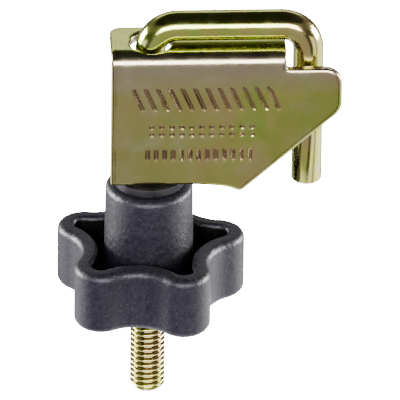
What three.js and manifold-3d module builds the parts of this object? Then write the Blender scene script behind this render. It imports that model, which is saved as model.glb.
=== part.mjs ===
// Hook-type pinch clamp for rubber hoses.
//
// A wire hook passes down through a folded sheet bracket. Its bar lies across the bracket's top web
// and its threaded leg carries a star knob below. Turning the knob pulls the bar down on the hose.
//
// Millimetres. +Z up, +X from the threaded leg to the plain leg, -Y towards the flange's front.
// The origin is on the web's top face, midway between the two legs.

import * as THREE from 'three';
import { mergeVertices } from 'three/addons/utils/BufferGeometryUtils.js';
import Module from 'manifold-3d';

const wasm = await Module();
wasm.setup();

// Wire hook
const LEG_X = 13.35; // leg axes at -LEG_X (threaded) and +LEG_X (plain)
const ROD_R = 2.6;
const THREAD_R = 3.0; // M6 x 1, rolled, so it stands proud of the rod
const THREAD_START_Z = -13;
const THREAD_END_Z = -67.8;
const THREAD_CHAMFER = 0.8;
const BAR_Z = 3.1; // centre of the bar, half a millimetre clear of the web
const BEND_R = 4.6; // centreline radius of both bends
const PLAIN_END_Z = -27.1;
const PLAIN_CHAMFER = 0.4;
const BEND_STEPS = 8; // facets along each bend

// Sheet bracket
const SHEET = 1.5;
const FOLD_R = 2.45; // outer radius of the fold
const FRONT_Y = -4.85;
const WEB_BACK_Y = 5.5;
const LEFT_X = -20.15;
const WEB_RIGHT_X = 9.5;
const FLANGE_RIGHT_X = 18.95;
const SHOULDER_Z = -3.2; // flange's top edge beyond the web
const SHOULDER_R = 3;
const SLANT_TOP = [18.85, -11.3];
const SLANT_TIP = [1.95, -26.9];
const HEEL_Z = -25.4; // bottom edge, level as far as HEEL_X
const HEEL_X = -7;
const TOE = [0.4, -26.1]; // where the bottom edge's curve ends, beside the slant's tip
const TOE_PULL = [-1.5, -25.5];
const CORNER_Z = -9.9; // the slant's upper corner is rounded from here down
const CORNER_PULL_Z = -11.2;
const STEP_R = 0.5;
const WEB_CORNER_R = 2;
const HOLE_R = 3.5;

// Star knob
const LOBES = 5;
const LOBE_ANGLE = THREE.MathUtils.degToRad(9.5); // first lobe, from +X
const STAR_R = 16.6; // over the lobe tips
const FLUTE_R = 11.9; // from the axis to the bottom of a flute
const LOBE_R = 4.6;
const WALL = 2.9;
const RIM_Z = -38.4;
const KNOB_BOTTOM_Z = -49.9;
const CUP_FLOOR_Z = -46.6;
const EDGE_R = 1.2;
const HUB_TOP_Z = -27.3;
const HUB_TOP_R = 7.45;
const HUB_BASE_R = 7.65;
const HUB_SHOULDER = 1.3; // rounded edge of the hub's end
const SHOULDER_MIDDLE = 0.3; // share of the shoulder taken off halfway round it
const BEVEL_FACETS = 2;
const OUTLINE_FACETS = 7;

// Threaded bush in the hub, and the washer above it
const BUSH_R = 4.5;
const BUSH_BORE_R = 3.05;
const BUSH_TOP_Z = -27.6;
const BUSH_LENGTH = 18;
const BUSH_GAP = 0.1;
const EXIT_BORE_R = 3.3; // clearance hole below the bush
const WASHER_R = 6.1;
const WASHER_BORE_R = 3.2;
const WASHER_TOP_Z = -25.7;
const WASHER_T = 1.5;

const ROUND = 32; // facets round a shaft or bore
const CORNER_FACETS = 8; // along each arc of the bracket
const OVERLAP = 0.02; // between solids that are joined end to end
const MARGIN = 1; // a cutting solid runs this far past what it cuts
const RIGHT_ANGLE = Math.PI / 2;
const X = new THREE.Vector3(1, 0, 0);
const Y = new THREE.Vector3(0, 1, 0);
const Z = new THREE.Vector3(0, 0, 1);

// Closed three.js geometry to a solid that can be joined and cut.
function solid(geometry) {
  const bare = geometry.index ? geometry.toNonIndexed() : geometry.clone();
  bare.deleteAttribute('normal');
  bare.deleteAttribute('uv');
  const merged = mergeVertices(bare, 1e-4);
  const mesh = new wasm.Mesh({
    numProp: 3,
    vertProperties: new Float32Array(merged.attributes.position.array),
    triVerts: new Uint32Array(merged.index.array),
  });
  return new wasm.Manifold(mesh);
}

function geometryOf(body) {
  const mesh = body.getMesh();
  const geometry = new THREE.BufferGeometry();
  geometry.setAttribute('position', new THREE.BufferAttribute(mesh.vertProperties, 3));
  geometry.setIndex(new THREE.BufferAttribute(mesh.triVerts, 1));
  geometry.computeVertexNormals();
  return geometry;
}

// Turned solid about Z. The profile lists [radius, z] from the bottom up the outside.
function turned(profile, x) {
  const points = profile.map(([r, z]) => new THREE.Vector2(r, z));
  const geometry = new THREE.LatheGeometry(points, ROUND);
  geometry.rotateX(RIGHT_ANGLE);
  geometry.translate(x, 0, 0);
  return geometry;
}

function cylinder(radius, low, high, x) {
  return turned([[0, low], [radius, low], [radius, high], [0, high]], x);
}

// Tube round a curve that lies in the XZ plane.
function tube(path, steps) {
  const section = new THREE.Shape();
  section.absarc(0, 0, ROD_R, 0, 2 * Math.PI, false);
  return new THREE.ExtrudeGeometry(section, { steps, extrudePath: path, curveSegments: ROUND });
}

class Bend extends THREE.Curve {
  constructor(centreX, start, sweep) {
    super();
    this.centreX = centreX;
    this.start = start;
    this.sweep = sweep;
  }
  getPoint(t, target = new THREE.Vector3()) {
    const angle = this.start + t * this.sweep;
    const x = this.centreX + BEND_R * Math.cos(angle);
    return target.set(x, 0, BAR_Z - BEND_R + BEND_R * Math.sin(angle));
  }
}

function hookRod() {
  const bendX = LEG_X - BEND_R;
  const bendZ = BAR_Z - BEND_R;
  const bar = new THREE.LineCurve3(
    new THREE.Vector3(-bendX - OVERLAP, 0, BAR_Z),
    new THREE.Vector3(bendX + OVERLAP, 0, BAR_Z),
  );
  const plainEnd = ROD_R - PLAIN_CHAMFER;
  const threaded = turned([
    [0, THREAD_END_Z],
    [THREAD_R - THREAD_CHAMFER, THREAD_END_Z],
    [THREAD_R, THREAD_END_Z + THREAD_CHAMFER],
    [THREAD_R, THREAD_START_Z],
    [ROD_R, THREAD_START_Z + THREAD_R - ROD_R],
    [ROD_R, bendZ + OVERLAP],
    [0, bendZ + OVERLAP],
  ], -LEG_X);
  const plain = turned([
    [0, PLAIN_END_Z],
    [plainEnd, PLAIN_END_Z],
    [ROD_R, PLAIN_END_Z + PLAIN_CHAMFER],
    [ROD_R, bendZ + OVERLAP],
    [0, bendZ + OVERLAP],
  ], LEG_X);
  return solid(threaded)
    .add(solid(tube(new Bend(-bendX, Math.PI, -RIGHT_ANGLE), BEND_STEPS)))
    .add(solid(tube(bar, 1)))
    .add(solid(tube(new Bend(bendX, RIGHT_ANGLE, -RIGHT_ANGLE), BEND_STEPS)))
    .add(solid(plain));
}

// The folded section, in Y and Z, as seen along +X.
function foldSection() {
  const inner = FOLD_R - SHEET;
  const foldY = FRONT_Y + FOLD_R;
  const low = SLANT_TIP[1] - MARGIN;
  const section = new THREE.Shape();
  section.moveTo(FRONT_Y, low);
  section.lineTo(FRONT_Y + SHEET, low);
  section.lineTo(FRONT_Y + SHEET, -FOLD_R);
  section.absarc(foldY, -FOLD_R, inner, Math.PI, RIGHT_ANGLE, true);
  section.lineTo(WEB_BACK_Y, -SHEET);
  section.lineTo(WEB_BACK_Y, 0);
  section.lineTo(foldY, 0);
  section.absarc(foldY, -FOLD_R, FOLD_R, RIGHT_ANGLE, Math.PI, false);
  section.closePath();
  return section;
}

// The bracket's outline from the front, in X and Z.
function frontOutline() {
  const outline = new THREE.Shape();
  outline.moveTo(LEFT_X, HEEL_Z);
  outline.lineTo(HEEL_X, HEEL_Z);
  outline.quadraticCurveTo(...TOE_PULL, ...TOE);
  outline.lineTo(...SLANT_TIP);
  outline.lineTo(...SLANT_TOP);
  outline.quadraticCurveTo(FLANGE_RIGHT_X, CORNER_PULL_Z, FLANGE_RIGHT_X, CORNER_Z);
  outline.lineTo(FLANGE_RIGHT_X, SHOULDER_Z - SHOULDER_R);
  outline.absarc(FLANGE_RIGHT_X - SHOULDER_R, SHOULDER_Z - SHOULDER_R, SHOULDER_R, 0, RIGHT_ANGLE, false);
  outline.lineTo(WEB_RIGHT_X + STEP_R, SHOULDER_Z);
  outline.absarc(WEB_RIGHT_X + STEP_R, SHOULDER_Z + STEP_R, STEP_R, -RIGHT_ANGLE, -Math.PI, true);
  outline.lineTo(WEB_RIGHT_X, MARGIN);
  outline.lineTo(LEFT_X, MARGIN);
  outline.closePath();
  return outline;
}

// The bracket's outline from above, in X and Y, with both back corners of the web rounded.
function topOutline() {
  const back = WEB_BACK_Y;
  const r = WEB_CORNER_R;
  const outline = new THREE.Shape();
  outline.moveTo(LEFT_X, FRONT_Y - MARGIN);
  outline.lineTo(FLANGE_RIGHT_X + MARGIN, FRONT_Y - MARGIN);
  outline.lineTo(FLANGE_RIGHT_X + MARGIN, FRONT_Y + FOLD_R);
  outline.lineTo(WEB_RIGHT_X, FRONT_Y + FOLD_R);
  outline.lineTo(WEB_RIGHT_X, back - r);
  outline.absarc(WEB_RIGHT_X - r, back - r, r, 0, RIGHT_ANGLE, false);
  outline.lineTo(LEFT_X + r, back);
  outline.absarc(LEFT_X + r, back - r, r, RIGHT_ANGLE, Math.PI, false);
  outline.closePath();
  return outline;
}

function bracket() {
  const flat = { bevelEnabled: false, curveSegments: CORNER_FACETS };
  const width = FLANGE_RIGHT_X - LEFT_X + 2 * MARGIN;
  const folded = new THREE.ExtrudeGeometry(foldSection(), { ...flat, depth: width });
  folded.applyMatrix4(new THREE.Matrix4().makeBasis(Y, Z, X));
  folded.translate(LEFT_X - MARGIN, 0, 0);
  const thickness = WEB_BACK_Y - FRONT_Y + 2 * MARGIN;
  const front = new THREE.ExtrudeGeometry(frontOutline(), { ...flat, depth: thickness });
  front.applyMatrix4(new THREE.Matrix4().makeBasis(X, Z, Y.clone().negate()));
  front.translate(0, WEB_BACK_Y + MARGIN, 0);
  const height = 2 * MARGIN - SLANT_TIP[1];
  const top = new THREE.ExtrudeGeometry(topOutline(), { ...flat, depth: height });
  top.translate(0, 0, MARGIN - height);
  return solid(folded)
    .intersect(solid(front))
    .intersect(solid(top))
    .subtract(solid(cylinder(HOLE_R, -SHEET - MARGIN, MARGIN, -LEG_X)));
}

// Star outline: lobe arcs joined by tangent flute arcs. inset moves it inwards by that much.
function starOutline(inset) {
  const pitch = (2 * Math.PI) / LOBES;
  const lobeAt = STAR_R - LOBE_R;
  const across = LOBE_R - FLUTE_R;
  const fluteAt = (lobeAt ** 2 - across ** 2) / (2 * across + 2 * lobeAt * Math.cos(pitch / 2));
  const fluteArc = fluteAt - FLUTE_R;
  const dx = fluteAt * Math.cos(pitch / 2) - lobeAt;
  const tangent = Math.atan2(fluteAt * Math.sin(pitch / 2), dx);
  const outline = new THREE.Shape();
  for (let i = 0; i < LOBES; i += 1) {
    const lobe = LOBE_ANGLE + i * pitch;
    const flute = lobe + pitch / 2;
    const half = lobe + tangent + Math.PI;
    const lobeX = lobeAt * Math.cos(lobe);
    const lobeY = lobeAt * Math.sin(lobe);
    const fluteX = fluteAt * Math.cos(flute);
    const fluteY = fluteAt * Math.sin(flute);
    outline.absarc(lobeX, lobeY, LOBE_R - inset, lobe - tangent, lobe + tangent, false);
    outline.absarc(fluteX, fluteY, fluteArc + inset, half, 2 * (flute + Math.PI) - half, true);
  }
  outline.closePath();
  return outline;
}

function starKnob() {
  const skirt = new THREE.ExtrudeGeometry(starOutline(0), {
    depth: RIM_Z - KNOB_BOTTOM_Z - 2 * EDGE_R,
    bevelThickness: EDGE_R,
    bevelSize: EDGE_R,
    bevelOffset: -EDGE_R,
    bevelSegments: BEVEL_FACETS,
    curveSegments: OUTLINE_FACETS,
  });
  skirt.translate(-LEG_X, 0, KNOB_BOTTOM_Z + EDGE_R);
  const cup = new THREE.ExtrudeGeometry(starOutline(WALL), {
    depth: RIM_Z - CUP_FLOOR_Z + MARGIN,
    bevelEnabled: false,
    curveSegments: OUTLINE_FACETS,
  });
  cup.translate(-LEG_X, 0, CUP_FLOOR_Z);
  const hub = turned([
    [0, CUP_FLOOR_Z - MARGIN],
    [HUB_BASE_R, CUP_FLOOR_Z - MARGIN],
    [HUB_TOP_R, HUB_TOP_Z - HUB_SHOULDER],
    [HUB_TOP_R - SHOULDER_MIDDLE * HUB_SHOULDER, HUB_TOP_Z - SHOULDER_MIDDLE * HUB_SHOULDER],
    [HUB_TOP_R - HUB_SHOULDER, HUB_TOP_Z],
    [0, HUB_TOP_Z],
  ], -LEG_X);
  const seat = cylinder(BUSH_R + BUSH_GAP, BUSH_TOP_Z - BUSH_LENGTH - BUSH_GAP, 0, -LEG_X);
  const exit = cylinder(EXIT_BORE_R, KNOB_BOTTOM_Z - MARGIN, 0, -LEG_X);
  return solid(skirt)
    .subtract(solid(cup))
    .add(solid(hub))
    .subtract(solid(seat))
    .subtract(solid(exit));
}

// Plain ring about the threaded leg's axis.
function ring(outer, bore, low, high) {
  return turned([[bore, low], [outer, low], [outer, high], [bore, high], [bore, low]], -LEG_X);
}

const zincYellow = { color: 0x9a9650, roughness: 0.35, metalness: 0.9 };
const zincGlossy = { color: 0xa8a055, roughness: 0.25, metalness: 0.95 };
const blackPlastic = { color: 0x34323c, roughness: 0.5, metalness: 0 };
const darkSteel = { color: 0x3c3a38, roughness: 0.45, metalness: 0.8 };
const brass = { color: 0xb08d4a, roughness: 0.35, metalness: 0.9 };

const group = new THREE.Group();

function addPiece(name, geometry, finish) {
  const mesh = new THREE.Mesh(geometry, new THREE.MeshStandardMaterial(finish));
  mesh.name = name;
  group.add(mesh);
}

addPiece('bracket', geometryOf(bracket()), zincYellow);
addPiece('hook_rod', geometryOf(hookRod()), zincGlossy);
addPiece('star_knob', geometryOf(starKnob()), blackPlastic);
addPiece('knob_insert', ring(BUSH_R, BUSH_BORE_R, BUSH_TOP_Z - BUSH_LENGTH, BUSH_TOP_Z), brass);
addPiece('thrust_washer', ring(WASHER_R, WASHER_BORE_R, WASHER_TOP_Z - WASHER_T, WASHER_TOP_Z), darkSteel);

export default group;
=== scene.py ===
from math import atan2, cos, hypot, pi, radians, sin

import bmesh
import bpy
from mathutils import Matrix, Vector


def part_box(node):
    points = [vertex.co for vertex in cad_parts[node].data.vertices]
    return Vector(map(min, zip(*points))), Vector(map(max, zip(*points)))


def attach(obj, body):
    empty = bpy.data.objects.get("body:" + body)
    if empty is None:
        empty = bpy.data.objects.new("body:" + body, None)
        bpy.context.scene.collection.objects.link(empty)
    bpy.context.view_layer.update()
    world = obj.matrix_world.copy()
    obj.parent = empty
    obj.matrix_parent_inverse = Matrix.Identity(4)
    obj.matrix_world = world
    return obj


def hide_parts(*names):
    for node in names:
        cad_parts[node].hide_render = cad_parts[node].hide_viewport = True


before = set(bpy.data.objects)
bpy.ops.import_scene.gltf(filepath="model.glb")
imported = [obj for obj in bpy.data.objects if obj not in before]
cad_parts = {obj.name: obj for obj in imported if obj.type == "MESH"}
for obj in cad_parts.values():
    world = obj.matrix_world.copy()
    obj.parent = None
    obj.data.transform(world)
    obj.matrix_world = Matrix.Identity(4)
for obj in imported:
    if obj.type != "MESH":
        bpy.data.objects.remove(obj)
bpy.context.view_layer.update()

MM = 0.001  # every size below is in millimetres, and meshes are scaled by this when they are made

# Places read from the frame
ROD_LOW, ROD_HIGH = ([v / MM for v in corner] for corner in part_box("hook_rod"))
SHEET_LOW, SHEET_HIGH = ([v / MM for v in corner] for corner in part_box("bracket"))
KNOB_LOW, KNOB_HIGH = ([v / MM for v in corner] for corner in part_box("star_knob"))
BUSH_LOW, BUSH_HIGH = ([v / MM for v in corner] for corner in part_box("knob_insert"))
WASHER_LOW, WASHER_HIGH = ([v / MM for v in corner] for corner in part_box("thrust_washer"))

# Wire hook
THREAD_R = (ROD_HIGH[1] - ROD_LOW[1]) / 2
ROD_R = 2.6
LEG_X = ROD_HIGH[0] - ROD_R
BAR_Z = ROD_HIGH[2] - ROD_R
BEND_R = 4.6
THREAD_LOW = ROD_LOW[2]
THREAD_TOP = -13.0
THREAD_END_R = 0.9  # flat end of the thread's chamfer
THREAD_CHAMFER = 0.9
RUN_OUT = 1.6  # length over which the thread fades into the plain rod
PLAIN_LOW = -27.1
PITCH = 1.0
THREAD_DEPTH = 0.56
ROWS_PER_PITCH = 9
BEND_STEPS = 16
ROD_SIDES = 48

# Sheet bracket
SHEET = 1.5
FOLD_R = 2.45
FRONT_Y = SHEET_LOW[1]
BACK_Y = SHEET_HIGH[1]
LEFT_X = SHEET_LOW[0]
RIGHT_X = SHEET_HIGH[0]
WEB_RIGHT_X = 9.5
SHOULDER_Z = -3.2
SHOULDER_R = 3.0
STEP_R = 0.5
TIP_X = 1.95
TIP_Z = SHEET_LOW[2]
HEEL_X = -7.0
HEEL_Z = -25.4
WEB_CORNER_R = 2.0
HOLE_R = 3.5
ROLL_WIDTH = 0.85  # punching draws the outer edge down this far in from the cut
ROLL_DEPTH = 0.38
BACK_EDGE = 0.15  # radius of the edge on the inner face
MARK_DEPTH = 0.2

# Star knob
LOBES = 5
LOBE_ANGLE = radians(9.5)
STAR_R = 16.6
FLUTE_R = 11.9
LOBE_R = 4.6
WALL = 2.9
RIM_Z = -38.4
KNOB_BOTTOM = KNOB_LOW[2]
CUP_FLOOR = -46.6
HUB_TOP = KNOB_HIGH[2]
HUB_R = 7.45
HUB_BASE_R = 7.65
EXIT_R = 3.3
BASE_EDGE = 1.5  # radii of the knob's rounded edges
TOP_EDGE = 1.3
INNER_EDGE = 0.7
CUP_FILLET = 0.5
CUP_DRAFT = 0.1  # the cup's wall thickens by this towards its floor
HUB_FILLET = 0.3
HUB_SHOULDER = 1.3
RECESS = 0.6  # depth and radius of the round recess under the knob
RECESS_R = 6.4
THIRDS = (0.33, 0.67)
QUARTERS = (0.25, 0.5, 0.75)

# Rings on the threaded leg
BUSH_BORE = 3.05
BUSH_EDGE = 0.25
WASHER_BORE = 3.2
WASHER_EDGE = 0.2
BUSH_CLEARANCE = 0.06


def add_mesh(name, points, faces, node, body, material, sharp=40):
    """Make a closed mesh from points in millimetres and stand it in for a CAD node."""
    mesh = bpy.data.meshes.new(name)
    mesh.from_pydata([Vector(p) * MM for p in points], [], faces)
    build = bmesh.new()
    build.from_mesh(mesh)
    bmesh.ops.recalc_face_normals(build, faces=build.faces)
    if build.calc_volume(signed=True) < 0:
        bmesh.ops.reverse_faces(build, faces=build.faces)
    build.to_mesh(mesh)
    build.free()
    mesh.shade_smooth()
    mesh.set_sharp_from_angle(angle=radians(sharp))
    piece = bpy.data.objects.new(name, mesh)
    bpy.context.collection.objects.link(piece)
    mesh.materials.append(material)
    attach(piece, body)
    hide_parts(node)
    return piece


def tint_points(piece, values):
    """Store a value per point for the material: the depth of a pressed mark, the depth in a thread's groove
    (painted shade) and the hub's depth in the cup (painted shade).
    """
    mark = piece.data.attributes.new("mark", "FLOAT", "POINT")
    mark.data.foreach_set("value", values)


def skin(rings, closed=False):
    """Quads between rings of equal length. closed joins the last ring to the first."""
    count = len(rings[0])
    points = [p for ring in rings for p in ring]
    faces = []
    last = len(rings) if closed else len(rings) - 1
    for i in range(last):
        a, b = i * count, (i + 1) % len(rings) * count
        for j in range(count):
            k = (j + 1) % count
            faces.append((a + j, a + k, b + k, b + j))
    if not closed:
        faces.append(tuple(range(count))[::-1])
        faces.append(tuple(range((len(rings) - 1) * count, len(rings) * count)))
    return points, faces


# ---------------------------------------------------------------- materials

class Nodes:
    """Short way to write a node material whose pattern is fixed to the object."""

    def __init__(self, name):
        self.material = bpy.data.materials.new(name)
        self.material.use_nodes = True
        self.tree = self.material.node_tree
        self.shader = self.tree.nodes["Principled BSDF"]
        self.place = self.add("ShaderNodeTexCoord").outputs["Object"]

    def add(self, kind, **values):
        node = self.tree.nodes.new(kind)
        for key, value in values.items():
            setattr(node, key, value)
        return node

    def link(self, source, target):
        self.tree.links.new(source, target)

    def noise(self, scale, detail=3.0, rough=0.5, distortion=0.0, stretch=None):
        node = self.add("ShaderNodeTexNoise")
        node.inputs["Scale"].default_value = scale
        node.inputs["Detail"].default_value = detail
        node.inputs["Roughness"].default_value = rough
        node.inputs["Distortion"].default_value = distortion
        place = self.place
        if stretch:
            mapping = self.add("ShaderNodeMapping")
            mapping.inputs["Scale"].default_value = stretch
            self.link(place, mapping.inputs["Vector"])
            place = mapping.outputs["Vector"]
        self.link(place, node.inputs["Vector"])
        return node.outputs["Fac"]

    def ramp(self, source, stops):
        node = self.add("ShaderNodeValToRGB")
        while len(node.color_ramp.elements) < len(stops):
            node.color_ramp.elements.new(0.5)
        for element, (position, colour) in zip(node.color_ramp.elements, stops):
            element.position = position
            element.color = (*colour, 1.0)
        self.link(source, node.inputs["Fac"])
        return node.outputs["Color"]

    def mix(self, factor, a, b, blend="MIX"):
        node = self.add("ShaderNodeMix", data_type="RGBA", blend_type=blend)
        for socket, value in ((node.inputs[0], factor), (node.inputs[6], a), (node.inputs[7], b)):
            if isinstance(value, (float, int)):
                socket.default_value = value
            elif isinstance(value, tuple):
                socket.default_value = (*value, 1.0)
            else:
                self.link(value, socket)
        return node.outputs[2]

    def span(self, source, low, high, start=0.3, end=0.7):
        node = self.add("ShaderNodeMapRange")
        node.inputs["From Min"].default_value = start
        node.inputs["From Max"].default_value = end
        node.inputs["To Min"].default_value = low
        node.inputs["To Max"].default_value = high
        self.link(source, node.inputs["Value"])
        return node.outputs["Result"]

    def azimuth(self):
        """Direction on the floor from the threaded leg: 0.5 is in front, 0.75 right and 0 or 1 behind."""
        mapping = self.add("ShaderNodeMapping", vector_type="TEXTURE")
        mapping.inputs["Location"].default_value = (-LEG_X * MM, 0, 0)
        self.link(self.place, mapping.inputs["Vector"])
        split = self.add("ShaderNodeSeparateXYZ")
        self.link(mapping.outputs["Vector"], split.inputs[0])
        front = self.add("ShaderNodeMath", operation="MULTIPLY")
        front.inputs[1].default_value = -1
        self.link(split.outputs["Y"], front.inputs[0])
        angle = self.add("ShaderNodeMath", operation="ARCTAN2")
        self.link(split.outputs["X"], angle.inputs[0])
        self.link(front.outputs[0], angle.inputs[1])
        return self.span(angle.outputs[0], 0.0, 1.0, -pi, pi)

    def bumps(self, *layers):
        """Each layer is (height source, strength, depth in millimetres)."""
        normal = None
        for source, strength, depth in layers:
            node = self.add("ShaderNodeBump")
            node.inputs["Strength"].default_value = strength
            node.inputs["Distance"].default_value = depth * MM
            self.link(source, node.inputs["Height"])
            if normal:
                self.link(normal, node.inputs["Normal"])
            normal = node.outputs["Normal"]
        self.link(normal, self.shader.inputs["Normal"])


def zinc_chromate(name, olive, green, rose, grey, rough, patch_scale, mark_tint_and_groove_shade, coat_tints_and_painted_highlight=False):
    """Yellow chromate over zinc: olive gold with soft patches of green, rose and grey.

    The point attribute "mark" tints what is pressed into it, and on the hook it darkens the thread's
    grooves as painted shade. The coat's drift makes the left of the flange rosier; the web's top is tinted
    greener, and the fold and the flange's top are a paler grey-brown as a painted highlight.
    """
    nodes = Nodes(name)
    shader = nodes.shader
    shader.inputs["Metallic"].default_value = 1.0
    broad = nodes.noise(patch_scale, detail=2.0, distortion=0.6)
    cloud = nodes.noise(patch_scale * 2.7, detail=4.0, rough=0.6, distortion=0.4)
    fine = nodes.noise(patch_scale * 14, detail=3.0, rough=0.7)
    grain = nodes.noise(3500, detail=2.0)
    base = nodes.ramp(broad, [(0.36, green), (0.52, olive), (0.66, rose)])
    base = nodes.mix(nodes.span(cloud, 0.0, 0.55, 0.5, 0.72), base, grey)
    base = nodes.mix(nodes.span(fine, 0.0, 0.25), base, olive)
    if coat_tints_and_painted_highlight:
        split = nodes.add("ShaderNodeSeparateXYZ")
        nodes.link(nodes.place, split.inputs[0])
        left = nodes.span(split.outputs["X"], 0.55, 0.0, LEFT_X * MM, 6 * MM)
        base = nodes.mix(left, base, nodes.mix(nodes.span(cloud, 0.0, 0.8, 0.4, 0.65), rose, grey))
        # Painted highlight: the fold and the flange's top go a paler grey-brown.
        fold = nodes.span(split.outputs["Z"], 0.0, 0.75, -8 * MM, -3 * MM)
        base = nodes.mix(fold, base, (0.34, 0.28, 0.21))
        # The web's top is tinted greener.
        web = nodes.span(split.outputs["Z"], 0.0, 0.85, -0.5 * MM, -0.1 * MM)
        base = nodes.mix(web, base, (0.34, 0.38, 0.08))
    # The mark colour tints the bracket's pressed marks, and is painted shade in the hook's thread grooves.
    mark = nodes.add("ShaderNodeAttribute", attribute_name="mark").outputs["Fac"]
    base = nodes.mix(nodes.span(mark, 0.0, 0.85, 0.05, 0.6), base, mark_tint_and_groove_shade)
    nodes.link(base, shader.inputs["Base Color"])
    nodes.link(nodes.span(cloud, rough - 0.05, rough + 0.09), shader.inputs["Roughness"])
    nodes.bumps((fine, 0.25, 0.05), (grain, 0.12, 0.01))
    return nodes.material


def moulded_plastic(name, specular, light, dark):
    """Black plastic with a violet cast, a fine moulded mottle and small light flecks as painted glints.

    The point attribute "mark" is how deep a point of the hub lies in the cup; it darkens the hub there as
    painted shade.
    """
    nodes = Nodes(name)
    shader = nodes.shader
    broad = nodes.noise(160, detail=3.0)
    mottle = nodes.noise(1300, detail=4.0, rough=0.65)
    glint_fleck = nodes.noise(2100, detail=1.0)
    depth = nodes.add("ShaderNodeAttribute", attribute_name="mark").outputs["Fac"]
    colour = nodes.ramp(mottle, [(0.3, dark), (0.7, light)])
    middle = tuple(0.5 * (a + b) for a, b in zip(light, dark))
    colour = nodes.mix(nodes.span(broad, 0.0, 0.4), colour, middle)
    # Painted glints: small light flecks scattered over the plastic.
    colour = nodes.mix(nodes.span(glint_fleck, 0.0, 0.3, 0.63, 0.76), colour, (6 * light[0],) * 3)
    # Painted shade: the hub goes near-black the deeper it lies in the cup.
    colour = nodes.mix(nodes.span(depth, 0.0, 0.9, 0.0, 1.0), colour, (0.001, 0.001, 0.0012))
    nodes.link(colour, shader.inputs["Base Color"])
    shader.inputs["Specular IOR Level"].default_value = specular
    nodes.link(nodes.span(mottle, 0.36, 0.50), shader.inputs["Roughness"])
    nodes.bumps((broad, 0.35, 0.3), (mottle, 0.8, 0.14), (glint_fleck, 0.3, 0.04))
    return nodes.material


def turned_metal(name, dark, light, rough):
    """Turned metal with faint tool rings, for the bush and the washer."""
    nodes = Nodes(name)
    shader = nodes.shader
    shader.inputs["Metallic"].default_value = 1.0
    blotch = nodes.noise(420, detail=4.0)
    rings = nodes.noise(900, detail=2.0, stretch=(0.15, 0.15, 4.0))
    nodes.link(nodes.ramp(blotch, [(0.35, dark), (0.65, light)]), shader.inputs["Base Color"])
    nodes.link(nodes.span(blotch, rough - 0.06, rough + 0.08), shader.inputs["Roughness"])
    nodes.bumps((rings, 0.3, 0.02))
    return nodes.material


# ---------------------------------------------------------------- bracket

WEB_FLAT = BACK_Y - (FRONT_Y + FOLD_R)  # length of the web's flat, along the sheet
FOLD_END = WEB_FLAT + FOLD_R * pi / 2
ROW_Z = (-8.6, -14.8, -19.4)  # the three rows of plain punch marks
MARKS_X = (-17.2, 8.8)
FINE = 0.26  # spacing of the mesh where the marks are


def flat_s(z):
    """Distance along the sheet, from the web's back edge, of a height on the flange."""
    return FOLD_END - FOLD_R - z


def arc(cx, cs, r, start, end, steps):
    angles = (start + (end - start) * i / steps for i in range(steps + 1))
    return [(cx + r * cos(a), cs + r * sin(a)) for a in angles]


def curve(a, b, c, steps):
    """Quadratic curve from a to c, pulled towards b."""
    out = []
    for i in range(steps + 1):
        t = i / steps
        u = 1 - t
        out.append(tuple(u * u * p + 2 * u * t * q + t * t * r for p, q, r in zip(a, b, c)))
    return out


def blank_outline():
    """The sheet before folding, as (x, distance from the web's back edge)."""
    r = WEB_CORNER_R
    shoulder = flat_s(SHOULDER_Z)
    right = RIGHT_X - SHOULDER_R
    outline = arc(LEFT_X + r, r, r, pi, 1.5 * pi, 6)
    outline += arc(WEB_RIGHT_X - r, r, r, -pi / 2, 0, 6)
    outline += arc(WEB_RIGHT_X + STEP_R, shoulder - STEP_R, STEP_R, pi, pi / 2, 4)
    outline += arc(right, shoulder + SHOULDER_R, SHOULDER_R, -pi / 2, 0, 10)
    right_corner = (RIGHT_X, -9.6), (RIGHT_X, -11.0), (RIGHT_X - 1.1, -12.2)
    tip = (TIP_X + 0.5, TIP_Z + 0.45), (TIP_X, TIP_Z), (TIP_X - 0.6, TIP_Z + 0.25)
    toe = (0.3, HEEL_Z - 0.75), (-1.6, HEEL_Z - 0.08), (HEEL_X, HEEL_Z)
    for corner, steps in ((right_corner, 6), (tip, 4), (toe, 6)):
        outline += curve(*((x, flat_s(z)) for x, z in corner), steps)
    left = 0.5
    outline += arc(LEFT_X + left, flat_s(HEEL_Z) - left, left, pi / 2, pi, 3)
    return outline


def inset_loop(loop, distance):
    """Move a loop that runs anticlockwise inwards by a distance."""
    out = []
    count = len(loop)
    for i, (x, y) in enumerate(loop):
        ax, ay = loop[i - 1]
        bx, by = loop[(i + 1) % count]
        first = Vector((y - ay, ax - x)).normalized()
        second = Vector((by - y, x - bx)).normalized()
        middle = (first + second).normalized()
        reach = distance / max(middle.dot(first), 0.5)
        out.append((x - middle.x * reach, y - middle.y * reach))
    return out


def edge_profile():
    """The sheet's rounded edge as (inset, depth) from the outer face to the inner face."""
    steps = 6
    turn = [pi / 2 * i / steps for i in range(steps + 1)]
    outer = [(ROLL_WIDTH * (1 - sin(a)), ROLL_DEPTH * (1 - cos(a))) for a in turn]
    inner = [(BACK_EDGE * (1 - cos(a)), SHEET - BACK_EDGE * (1 - sin(a))) for a in turn]
    return outer + inner


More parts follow.
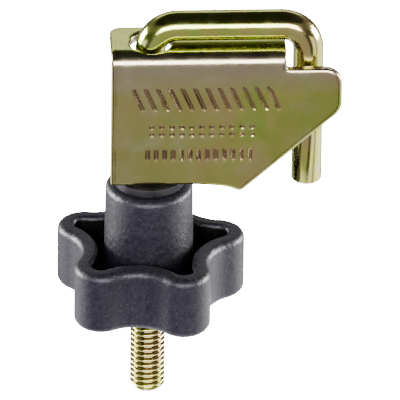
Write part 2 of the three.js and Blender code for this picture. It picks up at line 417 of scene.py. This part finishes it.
def flat_blank():
    """The sheet as a flat plate with its hole and rounded edges: x, distance, minus depth."""
    build = bmesh.new()
    sides = 48
    turns = [-2 * pi * i / sides for i in range(sides)]
    hole = [(-LEG_X + HOLE_R * cos(a), BACK_Y + HOLE_R * sin(a)) for a in turns]  # clockwise
    for loop in (blank_outline(), hole):
        rings = []
        for inset, depth in edge_profile():
            rings.append([build.verts.new((x, s, -depth)) for x, s in inset_loop(loop, inset)])
        count = len(loop)
        for upper, lower in zip(rings, rings[1:]):
            for j in range(count):
                k = (j + 1) % count
                build.faces.new((upper[j], lower[j], lower[k], upper[k]))
    for depth in (0.0, -SHEET):
        rim = [e for e in build.edges if len(e.link_faces) == 1
               and all(abs(v.co.z - depth) < 1e-6 for v in e.verts)]
        bmesh.ops.triangle_fill(build, edges=rim, use_beauty=True)
    return build


def cut_lines(low, high, step):
    count = int((high - low) / step)
    return [low + step * (i + 0.5) for i in range(count)]


def score(build, axis, places):
    normal = Vector((1, 0, 0)) if axis == 0 else Vector((0, 1, 0))
    for place in places:
        parts = build.verts[:] + build.edges[:] + build.faces[:]
        bmesh.ops.bisect_plane(build, geom=parts, dist=1e-4, plane_co=normal * place, plane_no=normal)


def groove(distance, half_width):
    """Depth of a round-bottomed punch mark, 0 to 1, at a distance from its middle line."""
    return max(0.0, 1 - (distance / half_width) ** 2)


def nearest(value, start, pitch, count):
    """Offset of a value from the nearest of some evenly spaced places."""
    index = min(max(round((value - start) / pitch), 0), count - 1)
    return value - start - index * pitch


def punch_marks(x, z):
    """A plain decoration of slanted strokes, dots and dashes, with no lettering, as a depth from 0 to 1."""
    strokes, dots, dashes = ROW_Z
    over = max(abs(z - strokes) - 1.9, 0)
    depth = groove(hypot(nearest(x + 0.42 * (z - strokes), -15.6, 2.1, 12), over), 0.38)
    for row in (dots - 0.72, dots + 0.72):
        depth = max(depth, groove(hypot(nearest(x, -13.2, 1.7, 11), z - row), 0.5))
    over = max(abs(z - dashes) - 0.8, 0)
    return max(depth, groove(hypot(nearest(x, -13.9, 1.45, 13), over), 0.36))


def fold_point(x, s, depth):
    """Where a point of the flat blank comes to when the sheet is folded."""
    fold_y = FRONT_Y + FOLD_R
    if s <= WEB_FLAT:
        return [x, BACK_Y - s, -depth]
    if s >= FOLD_END:
        return [x, FRONT_Y + depth, -FOLD_R - (s - FOLD_END)]
    angle = (s - WEB_FLAT) / FOLD_R
    radius = FOLD_R - depth
    return [x, fold_y - radius * sin(angle), -FOLD_R + radius * cos(angle)]


def make_bracket():
    """Cut the blank finely where it is marked and folded, press it, fold it and let it wave a little."""
    build = flat_blank()
    flange_end = flat_s(TIP_Z)
    marks = (flat_s(ROW_Z[0] + 2.6), flat_s(ROW_Z[2] - 1.5))
    left, right = MARKS_X
    score(build, 0, cut_lines(LEFT_X, left, 0.9) + cut_lines(left, right, FINE)
          + cut_lines(right, RIGHT_X, 0.9))
    score(build, 1, cut_lines(0, WEB_FLAT, 0.8) + cut_lines(WEB_FLAT - 0.2, FOLD_END + 0.2, 0.3)
          + cut_lines(*marks, FINE) + cut_lines(marks[1], flange_end, 0.8))
    marks_at = {}
    for vert in build.verts:
        x, s, minus_depth = vert.co
        depth = -minus_depth
        z = -FOLD_R - (s - FOLD_END)
        if depth < 1e-5 and s > FOLD_END:
            marks_at[vert] = punch_marks(x, z)
            depth += MARK_DEPTH * marks_at[vert]
        place = Vector(fold_point(x, s, depth))
        if s > FOLD_END:
            wave = 0.07 * sin(x * 0.21 + 1.0) * sin(s * 0.17) + 0.04 * sin(x * 0.5 + s * 0.33)
            place.y += wave * min(1.0, (s - FOLD_END) / 6)
        reach = Vector((place.x + LEG_X, place.y))
        if place.z > -4 and 0 < reach.length < HOLE_R - 0.05:
            reach = reach.normalized() * (HOLE_R - 0.05)
            place.x, place.y = reach.x - LEG_X, reach.y
        vert.co = place
    build.verts.index_update()
    marks_by_vert = [marks_at.get(v, 0.0) for v in build.verts]
    points = [v.co.copy() for v in build.verts]
    faces = [[v.index for v in f.verts] for f in build.faces]
    build.free()
    finish = zinc_chromate(
        "bracket_zinc", olive=(0.34, 0.33, 0.085), green=(0.24, 0.33, 0.055), rose=(0.42, 0.265, 0.145),
        grey=(0.31, 0.265, 0.17), rough=0.20, patch_scale=75, mark_tint_and_groove_shade=(0.22, 0.115, 0.075), coat_tints_and_painted_highlight=True)
    piece = add_mesh("bracket_sheet", points, faces, "bracket", "bracket", finish, 50)
    piece.modifiers.new("even_shading", "WEIGHTED_NORMAL").keep_sharp = True
    tint_points(piece, marks_by_vert)
    return piece


# ---------------------------------------------------------------- hook

def thread_radius(z, angle):
    """Rolled thread, right-handed, with soft crests, run out at its top and chamfered at its end."""
    phase = (z / PITCH - angle / (2 * pi)) % 1.0
    ridge = 0.5 + 0.5 * cos(2 * pi * phase)
    ridge = ridge * ridge * (3 - 2 * ridge)
    radius = THREAD_R - THREAD_DEPTH * (1 - ridge)
    fade = min(max((THREAD_TOP - z) / RUN_OUT, 0.0), 1.0)
    radius = ROD_R + (radius - ROD_R) * fade
    return min(radius, THREAD_R - THREAD_CHAMFER + (z - THREAD_LOW))


def make_hook():
    """One skin of rings, from the thread's end up the leg, over the bar and down the plain leg."""
    angles = [2 * pi * j / ROD_SIDES for j in range(ROD_SIDES)]
    bend_z = BAR_Z - BEND_R
    rings = []

    def leg_ring(x, z, radius):
        rings.append([(x + radius(a) * cos(a), radius(a) * sin(a), z) for a in angles])

    step = PITCH / ROWS_PER_PITCH
    rows = int((THREAD_TOP + 0.2 - THREAD_LOW) / step)
    leg_ring(-LEG_X, THREAD_LOW, lambda a: THREAD_END_R)
    for i in range(rows):
        z = THREAD_LOW + step * i
        leg_ring(-LEG_X, z, lambda a, z=z: thread_radius(z, a))
    for z in (THREAD_TOP + 0.6, -9.0, -5.0):
        leg_ring(-LEG_X, z, lambda a: ROD_R)
    # Round the bends the ring turns in the XZ plane: its first direction swings from -X up to +Z and on.
    stations = []
    bend_x = LEG_X - BEND_R
    bar_steps = 8
    for i in range(BEND_STEPS + 1):
        turn = pi - pi / 2 * i / BEND_STEPS
        stations.append((-bend_x + BEND_R * cos(turn), bend_z + BEND_R * sin(turn), turn))
    for i in range(1, bar_steps):
        stations.append((-bend_x + 2 * bend_x * i / bar_steps, BAR_Z, pi / 2))
    for i in range(BEND_STEPS + 1):
        turn = pi / 2 - pi / 2 * i / BEND_STEPS
        stations.append((bend_x + BEND_R * cos(turn), bend_z + BEND_R * sin(turn), turn))
    for x, z, turn in stations:
        ring = []
        for a in angles:
            # a = pi points away from the bend's centre, as -X does on the threaded leg
            out = -ROD_R * cos(a)
            ring.append((x + out * cos(turn), ROD_R * sin(a), z + out * sin(turn)))
        rings.append(ring)
    plain_end = ((0.5, 0.0), (0.22, 0.12), (0.05, 0.36), (0.0, 0.6))  # rise above the end, and inset
    plain_leg = [(-8.0, ROD_R), (-18.0, ROD_R)]
    plain_leg += [(PLAIN_LOW + rise, ROD_R - inset) for rise, inset in plain_end]
    for z, radius in plain_leg:
        rings.append([(LEG_X - radius * cos(a), radius * sin(a), z) for a in angles])
    points, faces = skin(rings)
    # The hook's dark mark colour is painted shade in the thread's grooves.
    finish = zinc_chromate(
        "hook_zinc", olive=(0.44, 0.43, 0.10), green=(0.36, 0.45, 0.09), rose=(0.45, 0.34, 0.14),
        grey=(0.40, 0.36, 0.23), rough=0.13, patch_scale=110, mark_tint_and_groove_shade=(0.09, 0.065, 0.03))
    piece = add_mesh("hook_wire", points, faces, "hook_rod", "hook", finish, 50)
    # Painted shade: each point's depth in the thread's grooves darkens it towards the dark mark colour.
    painted_groove_shade = []
    for x, y, z in points:
        on_thread = x < 0 and THREAD_LOW + 1 < z < THREAD_TOP
        painted_groove_shade.append((THREAD_R - hypot(x + LEG_X, y)) / THREAD_DEPTH if on_thread else 0.0)
    tint_points(piece, painted_groove_shade)
    return piece


# ---------------------------------------------------------------- knob

def star_ring(inset, z, per_lobe=32):
    """One ring of the star's outline, moved inwards by inset."""
    pitch = 2 * pi / LOBES
    lobe_at = STAR_R - LOBE_R
    across = LOBE_R - FLUTE_R
    flute_at = (lobe_at ** 2 - across ** 2) / (2 * across + 2 * lobe_at * cos(pitch / 2))
    flute_arc = flute_at - FLUTE_R
    tangent = atan2(flute_at * sin(pitch / 2), flute_at * cos(pitch / 2) - lobe_at)
    half = per_lobe // 2
    flute_half = pitch / 2 - tangent
    ring = []
    for i in range(LOBES):
        lobe = LOBE_ANGLE + i * pitch
        flute = lobe + pitch / 2
        for j in range(half):
            a = lobe - tangent + 2 * tangent * j / half
            r = LOBE_R - inset
            x = lobe_at * cos(lobe) + r * cos(a)
            ring.append((-LEG_X + x, lobe_at * sin(lobe) + r * sin(a), z))
        for j in range(half):
            a = flute + pi - flute_half + 2 * flute_half * j / half
            r = flute_arc + inset
            x = flute_at * cos(flute) + r * cos(a)
            ring.append((-LEG_X + x, flute_at * sin(flute) + r * sin(a), z))
    return ring


def round_ring(model, radius, z):
    """A circle whose points lie in the same directions as the points of a star ring."""
    ring = []
    for x, y, _ in model:
        length = hypot(x + LEG_X, y)
        ring.append((-LEG_X + radius * (x + LEG_X) / length, radius * y / length, z))
    return ring


def blend_ring(a, b, t, z):
    return [(p[0] + (q[0] - p[0]) * t, p[1] + (q[1] - p[1]) * t, z) for p, q in zip(a, b)]


def quarter(steps):
    """Angles from 0 to a right angle."""
    return [pi / 2 * i / steps for i in range(steps + 1)]


def make_knob():
    """One closed skin of rings: under the base, up the outside, over the rim, down the cup, up the hub."""
    outer = star_ring(0, 0)
    base_r = 7.6  # where the recess's edge meets the flat base
    recess_top = KNOB_BOTTOM + RECESS
    rings = []
    for radius, z in ((EXIT_R, recess_top + 0.3), (EXIT_R + 0.3, recess_top), (RECESS_R, recess_top),
                      (6.9, KNOB_BOTTOM + RECESS * 0.8), (7.2, KNOB_BOTTOM + 0.1), (base_r, KNOB_BOTTOM)):
        rings.append(round_ring(outer, radius, z))
    flat = star_ring(BASE_EDGE, 0)
    start = round_ring(outer, base_r, 0)
    rings += [blend_ring(start, flat, t, KNOB_BOTTOM) for t in QUARTERS]
    for a in quarter(8):
        rings.append(star_ring(BASE_EDGE * (1 - sin(a)), KNOB_BOTTOM + BASE_EDGE * (1 - cos(a))))
    side_low, side_high = KNOB_BOTTOM + BASE_EDGE, RIM_Z - TOP_EDGE
    rings += [star_ring(0, side_low + (side_high - side_low) * t) for t in QUARTERS]
    for a in quarter(8):
        rings.append(star_ring(TOP_EDGE * (1 - cos(a)), RIM_Z - TOP_EDGE * (1 - sin(a))))
    for a in quarter(5):
        rings.append(star_ring(WALL - INNER_EDGE * (1 - sin(a)), RIM_Z - INNER_EDGE * (1 - cos(a))))

    wall_start = len(rings) - 1
    wall_high, wall_low = RIM_Z - INNER_EDGE, CUP_FLOOR + CUP_FILLET
    rings += [star_ring(WALL + CUP_DRAFT * t, wall_high + (wall_low - wall_high) * t) for t in THIRDS]
    for a in quarter(5):
        inset = WALL + CUP_DRAFT + CUP_FILLET * (1 - cos(a))
        rings.append(star_ring(inset, CUP_FLOOR + CUP_FILLET * (1 - sin(a))))

    wall_end = len(rings)
    for a in quarter(4):
        radius = HUB_BASE_R + HUB_FILLET * (1 - sin(a))
        rings.append(round_ring(outer, radius, CUP_FLOOR + HUB_FILLET * (1 - cos(a))))
    hub_low, hub_high = CUP_FLOOR + HUB_FILLET, HUB_TOP - HUB_SHOULDER
    for t in (0.3, 0.6, 0.9):
        radius = HUB_BASE_R + (HUB_R - HUB_BASE_R) * t
        rings.append(round_ring(outer, radius, hub_low + (hub_high - hub_low) * t))
    for a in quarter(8):
        radius = HUB_R - HUB_SHOULDER * (1 - cos(a))
        rings.append(round_ring(outer, radius, HUB_TOP - HUB_SHOULDER * (1 - sin(a))))

    hub_end = len(rings)
    bush_r = (BUSH_HIGH[0] - BUSH_LOW[0]) / 2
    seat_r, seat_z = bush_r + BUSH_CLEARANCE, BUSH_LOW[2] - BUSH_CLEARANCE
    for radius, z in ((bush_r + 0.6, HUB_TOP), (bush_r + 0.2, HUB_TOP - 0.1), (seat_r, HUB_TOP - 0.35),
                      (seat_r, seat_z), (EXIT_R, seat_z)):
        rings.append(round_ring(outer, radius, z))
    points, faces = skin(rings, closed=True)
    violet, violet_black = (0.023, 0.0185, 0.044), (0.007, 0.0055, 0.014)
    finish = moulded_plastic("knob_plastic", 0.25, light=violet, dark=violet_black)
    piece = add_mesh("knob_body", points, faces, "star_knob", "knob", finish, 45)
    # Painted shade: the cup's wall and floor get a near-black matt copy of the plastic, up to just under
    # the rim's inner edge.
    cup = moulded_plastic("cup_plastic_painted_shade", 0.06, light=(0.004,) * 3, dark=(0.0015,) * 3)
    piece.data.materials.append(cup)
    for face in piece.data.polygons:
        if wall_start <= face.index // len(outer) < wall_end:
            face.material_index = 1
    # Painted shade: each point of the hub darkens by how far under the rim it lies.
    painted_cup_shade = []
    for i, ring in enumerate(rings):
        on_hub = wall_end <= i < hub_end
        painted_cup_shade += [min(max((RIM_Z - 1 - z) / 5, 0.0), 1.0) if on_hub else 0.0 for x, y, z in ring]
    tint_points(piece, painted_cup_shade)
    return piece


def make_ring(name, box, bore, edge, node, body, finish):
    """A plain ring about the threaded leg with rounded corners, in a CAD node's place."""
    low, high = box
    outer = (high[0] - low[0]) / 2
    profile = []
    for cx, cz, start in ((outer - edge, low[2] + edge, -pi / 2), (outer - edge, high[2] - edge, 0),
                          (bore + edge, high[2] - edge, pi / 2), (bore + edge, low[2] + edge, pi)):
        for i in range(5):
            a = start + pi / 8 * i
            profile.append((cx + edge * cos(a), cz + edge * sin(a)))
    sides = 72
    rings = [[(-LEG_X + r * cos(2 * pi * j / sides), r * sin(2 * pi * j / sides), z) for j in range(sides)]
             for r, z in profile]
    points, faces = skin(rings, closed=True)
    return add_mesh(name, points, faces, node, body, finish)


# ---------------------------------------------------------------- stage

AZIMUTH = radians(-3)
ELEVATION = radians(30.5)
ROLL = radians(0.7)
FRAME_WIDTH = 67.57 * MM
AIM_RIGHT, AIM_DOWN = 8.67, 26.63  # from the threaded leg's top, across and down the picture
DISTANCE = 2.5

FLOOR_GLOW = 40.0
FLOOR_HALF = 4.0  # half the floor's width, in metres
FLOOR_GAP = 0.0002  # between the thread's end and the floor
# Glow of the table as the object sees it, by degrees round from the front, and its bright patch at the foot
TABLE_GLOW = 3.5
TABLE_TONES = ((-180, 0.17), (-125, 0.17), (-105, 0.9), (-60, 0.9), (-50, 0.02), (-32, 0.02), (-22, 0.19),
               (24, 0.19), (31, 0.02), (42, 0.02), (48, 0.8), (58, 0.8), (66, 0.05), (80, 1.0), (112, 1.0),
               (130, 0.17), (180, 0.17))
FOOT_REACH = (0.0705, 0.080)  # metres from the origin, where the patch begins to fade and ends
SKY_STRENGTH = 0.62
# Brightness by the height of the direction looked in, from level to overhead, and by how far it is sideways
SKY_BY_HEIGHT = ((0.0, 0.3), (0.25, 0.45), (0.36, 1.0), (0.58, 1.0), (0.68, 0.06), (1.0, 0.04))
SKY_BY_SIDE = ((0.0, 1.0), (0.45, 0.9), (0.75, 0.35), (1.0, 0.5))


def make_camera():
    right = Vector((cos(AZIMUTH), sin(AZIMUTH), 0))
    back = Vector((sin(AZIMUTH) * cos(ELEVATION), -cos(AZIMUTH) * cos(ELEVATION), sin(ELEVATION)))
    up = back.cross(right)
    target = Vector((-LEG_X * MM, 0, 0)) + AIM_RIGHT * MM * right - AIM_DOWN * MM * up
    data = bpy.data.cameras.new("camera")
    data.sensor_width = 36
    data.lens = data.sensor_width * DISTANCE / FRAME_WIDTH
    data.clip_end = 50
    camera = bpy.data.objects.new("camera", data)
    turn = Matrix((right, up, back)).transposed().to_4x4()
    place = Matrix.Translation(target + back * DISTANCE)
    camera.matrix_world = place @ turn @ Matrix.Rotation(ROLL, 4, "Z")
    bpy.context.collection.objects.link(camera)
    bpy.context.scene.camera = camera


def add_light(name, place, size, power, glossy=True, diffuse=True):
    """Soft light panel that looks at the object. It can be left out of reflections or of plain shading."""
    data = bpy.data.lights.new(name, "AREA")
    data.shape = "RECTANGLE"
    data.size, data.size_y = size
    data.energy = power
    light = bpy.data.objects.new(name, data)
    aim = Vector((0, 0, -0.03)) - Vector(place)
    light.location = place
    light.rotation_euler = aim.to_track_quat("-Z", "Y").to_euler()
    light.visible_glossy = glossy
    light.visible_diffuse = diffuse
    bpy.context.collection.objects.link(light)


def make_floor():
    """White to the camera from above and clear from below. The object sees pale cards on a dark table."""
    half = FLOOR_HALF
    z = THREAD_LOW * MM - FLOOR_GAP
    mesh = bpy.data.meshes.new("floor")
    corners = [(-half, -half, z), (half, -half, z), (half, half, z), (-half, half, z)]
    mesh.from_pydata(corners, [], [(0, 1, 2, 3)])
    floor = bpy.data.objects.new("floor", mesh)
    bpy.context.collection.objects.link(floor)
    nodes = Nodes("floor_white")
    tree = nodes.tree
    white = {"Base Color": (0.85, 0.85, 0.85, 1), "Roughness": 0.9, "Specular IOR Level": 0.1,
             "Emission Color": (1, 1, 1, 1), "Emission Strength": FLOOR_GLOW}
    for socket, value in white.items():
        nodes.shader.inputs[socket].default_value = value
    table = nodes.add("ShaderNodeEmission")
    table.inputs["Strength"].default_value = TABLE_GLOW
    stops = [(0.5 + degrees / 360, (tone,) * 3) for degrees, tone in TABLE_TONES]
    away = nodes.add("ShaderNodeVectorMath", operation="LENGTH")
    nodes.link(nodes.place, away.inputs[0])
    foot = nodes.span(away.outputs["Value"], 1.0, 0.0, *FOOT_REACH)
    nodes.link(nodes.mix(foot, nodes.ramp(nodes.azimuth(), stops), (1.0, 1.0, 1.0)), table.inputs["Color"])
    seen = nodes.add("ShaderNodeLightPath").outputs["Is Camera Ray"]
    choice = nodes.add("ShaderNodeMixShader")
    nodes.link(seen, choice.inputs["Fac"])
    nodes.link(table.outputs[0], choice.inputs[1])
    nodes.link(nodes.shader.outputs[0], choice.inputs[2])
    below = nodes.add("ShaderNodeMath", operation="MULTIPLY")
    nodes.link(seen, below.inputs[0])
    nodes.link(nodes.add("ShaderNodeNewGeometry").outputs["Backfacing"], below.inputs[1])
    open_below = nodes.add("ShaderNodeMixShader")
    nodes.link(below.outputs[0], open_below.inputs["Fac"])
    nodes.link(choice.outputs[0], open_below.inputs[1])
    nodes.link(nodes.add("ShaderNodeBsdfTransparent").outputs[0], open_below.inputs[2])
    nodes.link(open_below.outputs[0], tree.nodes["Material Output"].inputs["Surface"])
    mesh.materials.append(nodes.material)


def make_sky():
    """Studio round the object: dark overhead, and a bright band low down that is dimmer at the sides."""
    world = bpy.data.worlds.new("studio")
    world.use_nodes = True
    tree = world.node_tree
    background = tree.nodes["Background"]
    place = tree.nodes.new("ShaderNodeTexCoord")
    split = tree.nodes.new("ShaderNodeSeparateXYZ")
    tree.links.new(place.outputs["Generated"], split.inputs[0])
    values = []
    for axis, stops in (("Z", SKY_BY_HEIGHT), ("X", SKY_BY_SIDE)):
        source = split.outputs[axis]
        if axis == "X":
            size = tree.nodes.new("ShaderNodeMath")
            size.operation = "ABSOLUTE"
            tree.links.new(source, size.inputs[0])
            source = size.outputs[0]
        ramp = tree.nodes.new("ShaderNodeValToRGB")
        while len(ramp.color_ramp.elements) < len(stops):
            ramp.color_ramp.elements.new(0.5)
        for element, (position, value) in zip(ramp.color_ramp.elements, stops):
            element.position = position
            element.color = (value, value, value, 1)
        tree.links.new(source, ramp.inputs["Fac"])
        values.append(ramp.outputs["Color"])
    product = tree.nodes.new("ShaderNodeMath")
    product.operation = "MULTIPLY"
    for value, socket in zip(values, product.inputs):
        tree.links.new(value, socket)
    tree.links.new(product.outputs[0], background.inputs["Color"])
    background.inputs["Strength"].default_value = SKY_STRENGTH
    bpy.context.scene.world = world


make_camera()
make_bracket()
make_hook()
make_knob()
brass = turned_metal("insert_brass", (0.45, 0.30, 0.10), (0.62, 0.44, 0.18), 0.32)
make_ring("insert_bush", (BUSH_LOW, BUSH_HIGH), BUSH_BORE, BUSH_EDGE,
          "knob_insert", "knob", brass)
# Painted shade: the washer's steel is made near-black for the shade under the flange.
painted_shade_steel = turned_metal("washer_steel", (0.012, 0.012, 0.015), (0.03, 0.028, 0.03), 0.62)
make_ring("washer_ring", (WASHER_LOW, WASHER_HIGH), WASHER_BORE, WASHER_EDGE,
          "thrust_washer", "washer", painted_shade_steel)
make_floor()
make_sky()
add_light("front_strip", (0.0, -1.1, 0.36), (1.3, 0.46), 52, diffuse=False)
add_light("back_panel", (0.0, 1.2, 0.68), (1.6, 0.36), 3, diffuse=False)
add_light("left_panel", (-1.0, 0.30, 0.02), (0.6, 0.5), 115, diffuse=False)
add_light("right_panel", (1.0, 0.15, 0.02), (0.6, 0.5), 115, diffuse=False)
add_light("key", (-0.5, -0.9, 0.45), (0.5, 0.5), 9, glossy=False)
